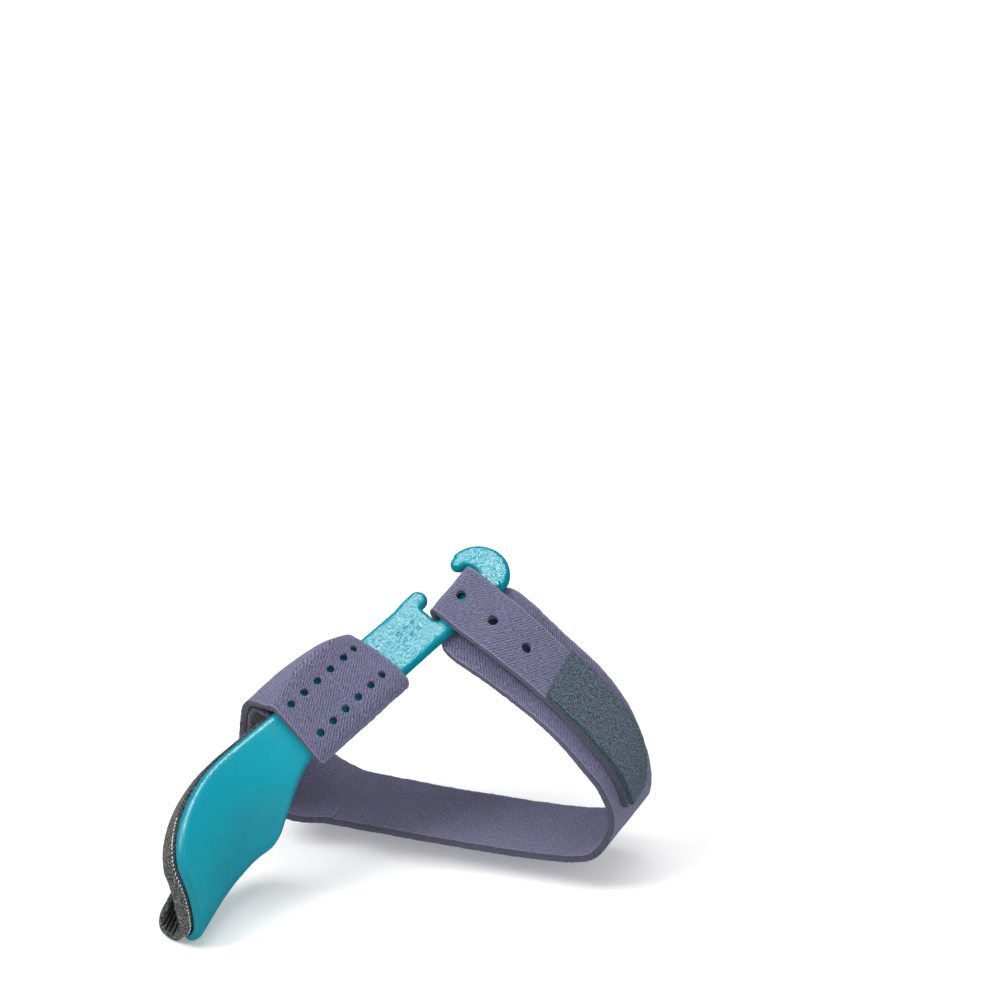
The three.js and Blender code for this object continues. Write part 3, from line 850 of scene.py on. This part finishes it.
def makeLiningCloth(look):
    material, tree, shader = newMaterial("dark lining", {
        "Roughness": 0.95, "Specular IOR Level": 0.12, "Sheen Weight": 0.3, "Sheen Roughness": 0.5,
    })
    cloth = placeGroup(tree, loopCloth, {"Place": flatMap(tree), **look["weave"]})
    # painted shade in the lining's grooves
    colour = mixColour(tree, cloth["Shade"], look["dark"], look["light"])
    colour = mixColour(tree, spread(tree, rimMask(tree), *look["cutAt"]), colour, look["cutEdge"])
    tree.links.new(colour, shader.inputs["Base Color"])
    bumpInto(tree, shader, cloth["Height"], *look["bump"])
    return material


patchFelt = {
    "base": (0.026, 0.046, 0.074, 1),
    "light": (0.2, 0.26, 0.34, 1),
    "worn": (0.12, 0.165, 0.23, 1),
    "dark": (0.0, 0.002, 0.005, 1),
    "edge": (0.004, 0.045, 0.055, 1),
    "mottle": {"Blotch": 10.0, "Grain": 31.0},
    "tipsAt": (0.38, 0.88),
    "edgeAt": (0.45, 0.75),
    "bump": (0.9, 0.4 * mm),
}


def makePatchFelt(look):
    material, tree, shader = newMaterial("slate felt", {
        "Roughness": 0.95, "Specular IOR Level": 0.12, "Sheen Weight": 0.35, "Sheen Roughness": 0.4,
        "Sheen Tint": (0.7, 0.85, 0.95, 1),
    })
    mottle = placeGroup(tree, speckle, {"Place": flatMap(tree), **look["mottle"]})
    colour = mixColour(tree, mottle["Blotches"], look["dark"], look["base"])
    tips = mixColour(tree, mottle["Blotches"], look["worn"], look["light"])
    colour = mixColour(tree, spread(tree, mottle["Grains"], *look["tipsAt"]), colour, tips)
    colour = mixColour(tree, spread(tree, rimMask(tree), *look["edgeAt"]), colour, look["edge"])
    tree.links.new(colour, shader.inputs["Base Color"])
    bumpInto(tree, shader, mathNode(tree, "ADD", mottle["Blotches"], mottle["Grains"]), *look["bump"])
    return material


padFlock = {
    "base": (0.052, 0.057, 0.055, 1),
    "light": (0.23, 0.24, 0.235, 1),
    "dark": (0.008, 0.009, 0.009, 1),
    # pleatShade: painted shade, near black in the pleats' grooves
    "pleatShade": (0.001, 0.002, 0.002, 1),
    "mottle": {"Blotch": 1500.0, "Grain": 2300.0},
    "tipsAt": (0.5, 0.95, 0, 0.8),
    "pleatShadeAt": (0.12, 0.5, 0, 0.97),
    "bump": (0.9, 0.4 * mm),
}


def makePadFlock(look):
    material, tree, shader = newMaterial("grey flock", {
        "Roughness": 0.97, "Specular IOR Level": 0.1, "Sheen Weight": 0.2, "Sheen Roughness": 0.5,
    })
    mottle = placeGroup(tree, speckle, {"Place": objectPlace(tree), **look["mottle"]})
    colour = mixColour(tree, mottle["Blotches"], look["dark"], look["base"])
    colour = mixColour(tree, spread(tree, mottle["Grains"], *look["tipsAt"]), colour, look["light"])
    # painted shade in the pleats' grooves
    pleatShade = addNode(tree, "ShaderNodeAttribute", attribute_name="pleatShade").outputs["Fac"]
    colour = mixColour(tree, spread(tree, pleatShade, *look["pleatShadeAt"]), colour, look["pleatShade"])
    tree.links.new(colour, shader.inputs["Base Color"])
    bumpInto(tree, shader, mathNode(tree, "ADD", mottle["Blotches"], mottle["Grains"]), *look["bump"])
    return material


teal = makeTealPlastic(tealPlastic)
lavender = makeLavenderCloth(lavenderCloth)
lining = makeLiningCloth(liningCloth)
felt = makePatchFelt(patchFelt)
flock = makePadFlock(padFlock)
thread = newMaterial("pale thread", {"Base Color": (0.6, 0.68, 0.68, 1), "Roughness": 0.6})[0]
print("materials made")

# Splint


def shoulderOf(end):
    return splint["shoulderReach"] * end, splint["shoulderDepth"] * splint["wingDepth"]


def wingOutline(neck, end, depth, top, neckStart=270.0):
    shoulder, shoulderDepth = shoulderOf(end)
    corner = splint["wingCorner"]
    return (
        ellipse((0, depth), (neck, depth - barWidth), neckStart, 180, 22)
        + straight((-neck, depth), (corner - end, depth))
        + ellipse((corner - end, depth - corner), (corner, corner), 90, 180, 8)
        + straight((-end, depth - corner), (-end, shoulderDepth))
        + ellipse((shoulder - end, shoulderDepth), (shoulder, shoulderDepth - top), 180, 270, 34)
    )


def headOutline():
    slotStart = splint["slotStart"]
    slotEnd = slotStart + splint["slotLength"]
    fillet = splint["slotFillet"]
    skew = splint["spineSkew"]
    near = foldEdge + skew * splint["slotLength"] / 2
    far = foldEdge - skew * splint["slotLength"] / 2
    radius = splint["prongRadius"]
    centre = slotStart + 0.45 * radius
    side = 0.75 * radius
    top = side + radius
    base = side - radius
    tip = slotEnd - 0.45 * radius
    tipRadius = 0.85 * radius
    tipSide = 0.7 * radius
    tipTop = tipSide + tipRadius
    hook = splint["hookRadius"]
    return (
        curve((slotStart - splint["headRun"], 0), (slotStart - radius, base), (centre, base))
        + ellipse((centre, side), (radius, radius), -90, 90, 14)
        + curve((centre, top), (slotStart, top), (slotStart, top + fillet))
        + straight((slotStart, top + fillet), (slotStart, near - fillet))
        + curve((slotStart, near - fillet), (slotStart, near), (slotStart + fillet, near - skew * fillet))
        + straight((slotStart + fillet, near - skew * fillet), (slotEnd - fillet, far + skew * fillet))
        + curve((slotEnd - fillet, far + skew * fillet), (slotEnd, far), (slotEnd, far - fillet / 2))
        + curve((slotEnd, far - fillet / 2), (slotEnd, tipTop), (tip, tipTop))
        + ellipse((tip, tipSide), (tipRadius, tipRadius), 90, 270, 14)
        + ellipse((slotEnd, barWidth / 2), (hook, hook), -90, 90, 30)
    )


def makeSplint():
    end = splint["wingLength"]
    outline = (
        straight((shoulderOf(end)[0] - end, 0), (splint["slotStart"] - splint["headRun"], 0))
        + headOutline()
        + straight((splint["slotStart"] + splint["slotLength"], barWidth), (0, barWidth))
        + wingOutline(splint["wingNeck"], end, curlEnd(splint["curlSweep"]), 0)
    )
    mesh = plate(outline[:-1], -splint["thickness"], 0)
    roundRims(mesh, splint["underRim"], 3, highest=False)
    roundRims(mesh, splint["rim"], 6, lowest=False, clamp=False)
    gridCut(mesh, splint["cell"])
    markRim(mesh, outline, splint["rimReach"])
    layUv(mesh)
    for vertex in mesh.verts:
        s, v, h = vertex.co
        vertex.co = splintPoint(s, v, h) - seat
    piece = finishPiece(mesh, "splint_shell", teal)
    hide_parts("splint")


makeSplint()

# Pad

wingPad = {
    "thickness": 4 * mm,
    "gap": 0.5 * mm,
    "sweep": 147,
    "rimOut": 0.8 * mm,
    "neckInset": 3 * mm,
    "edge": 1.1 * mm,  # rounding of the foam's free edges
    "seam": 0.4 * mm,  # and of those against the plastic
    "cell": 0.9 * mm,
    "fineCell": 0.19 * mm,
    "fineFrom": 31 * mm,
    "curled": 1.5 * mm,  # thickness where it curls under
    "thinFrom": 25 * mm,
    "swell": 2.6 * mm,  # past the plastic's end it springs out, between these two places
    "loose": (0.2 * mm, 4.2 * mm),
    "tightCurl": 5.6 * mm,  # its radius there
    "pleatPitch": 1.6 * mm,
    "pleatDepth": 1.05 * mm,
    "pleatStart": 45 * mm,
    "pleatFan": 16,  # their pitch narrows along the wing
    "pleatsDown": (34 * mm, 38 * mm),  # they deepen between these places
    "pleatsAlong": (-16 * mm, -26 * mm),
    "pleatsEnd": (0.4 * mm, 1.6 * mm),
    "frontRoll": (2.2 * mm, 0.7 * mm),  # its rounded front, on the wing and past it
    "frontPleats": 0.15,
    "lump": 0.16 * mm,
    "lumpSize": 3 * mm,
}


def padPoint(pad, s, v, inner):  # inner is 0 at the plastic and 1 inside
    front, corner = -splint["wingLength"], splint["wingCorner"]
    tip, end = curlEnd(splint["curlSweep"]), curlEnd(pad["sweep"])
    thickness = pad["thickness"] + (pad["curled"] - pad["thickness"]) * ramp(v, pad["thinFrom"], tip)
    free = corner * (1 - quarter(min(max((corner + front - s) / corner, 0), 1)))
    loose = ramp(v, tip + pad["loose"][0] - free, tip + pad["loose"][1])
    outside = -(splint["thickness"] + pad["gap"]) + pad["swell"] * loose
    fan = 1 + pad["pleatFan"] * (s - front)
    groove = 1 - abs(sin(pi * (v - pad["pleatStart"]) * fan / pad["pleatPitch"]))
    wide, tight = pad["frontRoll"]
    roll = wide + (tight - wide) * ramp(v, tip, tip + 4 * mm)
    atFront = pad["frontPleats"] + (1 - pad["frontPleats"]) * ramp(s, front, front + roll)
    groove *= inner * ramp(v, *pad["pleatsDown"]) * ramp(s, *pad["pleatsAlong"]) * atFront
    groove *= ramp(v, end - pad["pleatsEnd"][0], end - pad["pleatsEnd"][1])
    uneven = inner * pad["lump"] * lump(Vector((s, v, 0)), pad["lumpSize"])
    height = outside - inner * thickness - uneven + pad["pleatDepth"] * groove
    if v <= tip:
        return splintPoint(s, v, height), groove
    start, normal = facePoint(s, tip), faceNormal(s, tip)
    ahead = (facePoint(s, tip + 0.1 * mm) - facePoint(s, tip - 0.1 * mm)).normalized()
    turn = (v - tip) / pad["tightCurl"]
    reach = pad["tightCurl"] + height
    return start + ahead * (reach * sin(turn)) + normal * (reach * cos(turn) - pad["tightCurl"]), groove


def makeWingPad(pad):
    top = -(splint["thickness"] + pad["gap"])
    neck = splint["wingNeck"] + pad["neckInset"]
    end = splint["wingLength"] + pad["rimOut"]
    neckStart = 270 - degrees(asin(pad["neckInset"] / neck))
    outline = (
        straight((shoulderOf(end)[0] - end, -pad["rimOut"]), (-pad["neckInset"], -pad["rimOut"]))
        + wingOutline(neck, end, curlEnd(pad["sweep"]), -pad["rimOut"], neckStart)
    )
    mesh = plate(outline[:-1], top - pad["thickness"], top)
    roundRims(mesh, pad["edge"], 3, highest=False)
    roundRims(mesh, pad["seam"], 2, lowest=False)
    gridCut(mesh, pad["cell"], pad["fineFrom"], pad["fineCell"])
    layUv(mesh)
    # how deep each point lies in a pleat's groove, for painted shade there
    pleatShade = mesh.verts.layers.float.new("pleatShade")
    for vertex in mesh.verts:
        s, v, h = vertex.co
        place, vertex[pleatShade] = padPoint(pad, s, v, (top - h) / pad["thickness"])
        vertex.co = place - seat
    piece = finishPiece(mesh, "toe_pad_foam", flock)
    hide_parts("toe_pad")


makeWingPad(wingPad)

stitches = {
    "size": 0.13 * mm,
    "pitch": 0.95 * mm,
    "uneven": 0.25,  # share of the pitch
    "long": (2.6, 1.4),  # its length in sizes, and how far that varies
    "start": 226,  # degrees round the shoulder
    "inset": 0.28 * mm,
    "depth": 0.02,  # share of the pad's thickness
    "stop": 0.5 * mm,  # before the plastic's end
}


def makeStitches(look, pad):  # the thread along the pad's edge beside the plastic
    end = splint["wingLength"] + pad["rimOut"]
    shoulder, depth = shoulderOf(end)
    line = ellipse((shoulder - end, depth), (shoulder, depth + pad["rimOut"]), look["start"], 180, 120)
    line += straight((-end, depth), (-end, curlEnd(splint["curlSweep"]) - look["stop"]), 0.2 * mm)
    places = [padPoint(pad, s + look["inset"], v, look["depth"])[0] - seat for s, v in line]
    mesh = bmesh.new()
    run, due = 0.0, 0.0
    for place, after in zip(places, places[1:]):
        if run >= due:
            due += look["pitch"] * (1 + look["uneven"] * lump(place, 2 * mm))
            made = bmesh.ops.create_uvsphere(mesh, u_segments=8, v_segments=6, radius=look["size"])
            turn = (after - place).to_track_quat("Z", "Y")
            long = look["long"][0] + look["long"][1] * lump(place, mm)
            for vertex in made["verts"]:
                x, y, z = vertex.co
                vertex.co = place + turn @ Vector((x, y, z * long))
        run += (after - place).length
    piece = finishPiece(mesh, "pad_stitches", thread)


makeStitches(stitches, wingPad)

# Straps


def makeCourse(rows):
    normals = rowNormals(rows)
    return {
        "rows": rows, "normals": normals, "runs": rowDistances(rows),
        "widths": [(row[0] - row[-1]).length for row in rows],
    }


def courseSpan(course, run):
    runs = course["runs"]
    i = min(max(bisect_right(runs, run) - 1, 0), len(runs) - 2)
    return i, (run - runs[i]) / max(runs[i + 1] - runs[i], 1e-9)


def courseWidth(course, run):
    i, t = courseSpan(course, run)
    t = min(max(t, 0), 1)
    return course["widths"][i] * (1 - t) + course["widths"][i + 1] * t


def coursePoint(course, run, side, height):
    i, t = courseSpan(course, run)
    place = (side / courseWidth(course, run) + 0.5) * acrossCount
    j = min(max(int(place), 0), acrossCount - 1)
    u = place - j
    point, normal = (
        grid[i][j].lerp(grid[i][j + 1], u).lerp(grid[i + 1][j].lerp(grid[i + 1][j + 1], u), t)
        for grid in (course["rows"], course["normals"])
    )
    return point + normal.normalized() * height


def punchHole(mesh, centre, radius):
    centre = Vector((centre[0], centre[1], 0))
    inside = [
        face for face in mesh.faces
        if min((vertex.co - centre).length for vertex in face.verts) < 1.1 * radius
    ]
    bmesh.ops.delete(mesh, geom=inside, context="FACES")
    rim = [
        edge for edge in mesh.edges
        if edge.is_boundary and (edge.verts[0].co - centre).length < 2.5 * radius
    ]
    made = bmesh.ops.extrude_edge_only(mesh, edges=rim)
    for vertex in made["geom"]:
        if isinstance(vertex, bmesh.types.BMVert):
            vertex.co = centre + (vertex.co - centre).normalized() * radius


clothRim = {"reach": 0.8 * mm, "frayPitch": 0.9 * mm, "lumpSize": 4 * mm}


def makeStrip(name, course, look, material, holes=()):
    length = course["runs"][-1]
    rows = round(length / look["cell"])
    columns = round(max(course["widths"]) / look["cell"])
    mesh = bmesh.new()
    bmesh.ops.create_grid(mesh, x_segments=rows, y_segments=columns, size=0.5)
    for vertex in mesh.verts:
        run = (vertex.co.x + 0.5) * length
        vertex.co = (run, vertex.co.y * courseWidth(course, run), 0)
    edgeLine = [vertex.co.xy.copy() for vertex in mesh.verts if vertex.is_boundary]
    for centre, radius in holes:
        punchHole(mesh, centre, radius)
    thicken(mesh, look["thickness"])
    bmesh.ops.translate(mesh, verts=mesh.verts[:], vec=(0, 0, -look["thickness"] / 2))
    roundRims(mesh, look["edge"], 2)
    markRim(mesh, edgeLine, clothRim["reach"])
    layUv(mesh)
    rim = mesh.verts.layers.float["rim"]
    for vertex in mesh.verts:
        fray = noise.noise_vector(vertex.co / clothRim["frayPitch"]) * (look["fray"] * vertex[rim])
        uneven = look["lump"] * lump(vertex.co, clothRim["lumpSize"])
        run, side, height = vertex.co + fray
        vertex.co = coursePoint(course, run, side, height + uneven) - seat
    return finishPiece(mesh, name, material)


def declareCloth(node):
    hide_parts(node)


ballBand = {
    "thickness": straps["strapThickness"],
    "cell": 0.7 * mm,
    "edge": 0.45 * mm,
    "fray": 0.2 * mm,
    "lump": 0.12 * mm,
    "holeSize": 1.95 * mm,
    "holePitch": 4.12 * mm,
    "holesPerRow": 6,
    "rowGap": 9.8 * mm,
    "rowShift": 0.65 * mm,  # the rows' middle lies off the bar's
}


def runNearest(course, point):
    middle = acrossCount // 2
    best = min(range(len(course["rows"])), key=lambda i: (course["rows"][i][middle] - point).length)
    return course["runs"][best]


def bandHoles(look, course):
    holes = []
    for row in (-0.5, 0.5):
        v = barWidth / 2 - look["rowShift"] + row * look["rowGap"]
        run = runNearest(course, splintPoint(bandMiddle, v, overSplint))
        for i in range(look["holesPerRow"]):
            side = (i - (look["holesPerRow"] - 1) / 2) * look["holePitch"]
            holes.append(((run, side), look["holeSize"] / 2))
    return holes


course = makeCourse(bandCourse)
band = makeStrip("band_cloth", course, ballBand, lavender, bandHoles(ballBand, course))
declareCloth("ball_band")

bandLining = {
    "thickness": straps["liningThickness"],
    "cell": 0.8 * mm,
    "edge": 0.4 * mm,
    "fray": 0.2 * mm,
    "lump": 0.1 * mm,
}
course = makeCourse(liningCourse)
liningPiece = makeStrip("lining_cloth", course, bandLining, lining)
declareCloth("band_lining")

footStrap = {
    "thickness": straps["strapThickness"],
    "cell": 0.75 * mm,
    "edge": 0.45 * mm,
    "fray": 0.15 * mm,
    "lump": 0.12 * mm,
    "taper": 15 * mm,  # the rear side of the tab's end is rounded off
    "endShare": 0.35,
    "holeSize": 2.7 * mm,
    "holePitch": 10.7 * mm,
    "holes": 3,
}


def roundEnd(rows, length, keep):
    runs = rowDistances(rows)
    rounded = []
    for row, run in zip(rows, runs):
        share = max(0, 1 - (runs[-1] - run) / length)
        kept = keep + (1 - keep) * quarter(share)
        rounded.append([row[0].lerp(point, kept) for point in row])
    return rounded


tabRows = roundEnd(tabCourse, footStrap["taper"], footStrap["endShare"])
upRuns = rowDistances(strapUp)
course = makeCourse(strapUp + tabRows[1:])
strapHoles = [
    ((upRuns[-1] + 0.25 * splint["spineWidth"] + i * footStrap["holePitch"], 0), footStrap["holeSize"] / 2)
    for i in range(footStrap["holes"])
]
strap = makeStrip("strap_cloth", course, footStrap, lavender, strapHoles)
declareCloth("foot_strap")

patch = {
    "thickness": 1.2 * mm,
    "border": 0.3 * mm,
    "start": 33 * mm,  # along the tab from the bar's fold
    "cell": 0.7 * mm,
    "edge": 0.3 * mm,
    "fray": 0.12 * mm,
    "lump": 0.14 * mm,
}


def patchCourse(look):
    runs = rowDistances(tabRows)
    rows = [
        [point.lerp(row[0], look["border"] / tabWidth * (j / acrossCount)) for j, point in enumerate(row)]
        for row, run in zip(tabRows, runs)
        if look["start"] < run < runs[-1] - look["border"]
    ]
    lift = (straps["strapThickness"] + look["thickness"]) / 2 + 1.3 * straps["clearance"]
    return makeCourse(shiftRows(rows, lift))


course = patchCourse(patch)
patchPiece = makeStrip("patch_felt", course, patch, felt)
declareCloth("fastener_patch")

# Floor and light

studio = {
    "floor": 8,
    "floorDrop": 0.4 * mm,
    "floorGlow": (0.35, 1.6, 0.2, 0.75),  # more of it far off, where the lamps don't reach
    "sky": (0, 1, 0.42, 0.05),  # its strength, and that in gloss
}
lamps = {
    "key": {"place": (-0.5, -0.55, 0.85), "size": 0.55, "power": 9.5, "inGloss": True},
    "fill": {"place": (0.75, -0.6, 0.55), "size": 0.7, "power": 3.0, "inGloss": False},
    "top": {"place": (0.02, 0.08, 1.0), "size": 0.75, "power": 5, "inGloss": False},
    "gloss": {"place": (-0.06, 0.03, 1.0), "size": 0.45, "power": 13.5, "inGloss": True},
}


def makeFloor(look):
    material, tree, shader = newMaterial("floor", {
        "Base Color": (0.86, 0.86, 0.86, 1), "Roughness": 0.6, "Specular IOR Level": 0.1,
        "Emission Color": (1, 1, 1, 1),
    })
    distance = vectorMath(tree, "LENGTH", objectPlace(tree)).outputs["Value"]
    tree.links.new(spread(tree, distance, *look["floorGlow"]), shader.inputs["Emission Strength"])
    mesh = bmesh.new()
    bmesh.ops.create_grid(mesh, x_segments=1, y_segments=1, size=look["floor"] / 2)
    bmesh.ops.translate(mesh, verts=mesh.verts[:], vec=(0, 0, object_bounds()[0][2] - look["floorDrop"]))
    data = bpy.data.meshes.new("floor")
    mesh.to_mesh(data)
    mesh.free()
    data.materials.append(material)
    floor = bpy.data.objects.new("floor", data)
    bpy.context.scene.collection.objects.link(floor)
    floor.visible_glossy = False
    floor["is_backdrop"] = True


def makeLamp(name, look):
    data = bpy.data.lights.new(name, "AREA")
    data.shape = "SQUARE"
    data.size = look["size"]
    data.energy = look["power"]
    lamp = bpy.data.objects.new(name, data)
    lamp.location = look["place"]
    lamp.rotation_euler = (-Vector(look["place"])).to_track_quat("-Z", "Y").to_euler()
    lamp.visible_glossy = look["inGloss"]
    lamp.visible_diffuse = name != "gloss"
    bpy.context.scene.collection.objects.link(lamp)


def makeSky(look):
    world = bpy.data.worlds.new("studio")
    world.use_nodes = True
    tree = world.node_tree
    background = tree.nodes["Background"]
    background.inputs["Color"].default_value = (1, 1, 1, 1)
    glossy = addNode(tree, "ShaderNodeLightPath").outputs["Is Glossy Ray"]
    tree.links.new(spread(tree, glossy, *look["sky"]), background.inputs["Strength"])
    bpy.context.scene.world = world
    bpy.context.scene.view_settings.view_transform = "Standard"


makeFloor(studio)
for lampName, lampLook in lamps.items():
    makeLamp(lampName, lampLook)
makeSky(studio)
print("studio made")
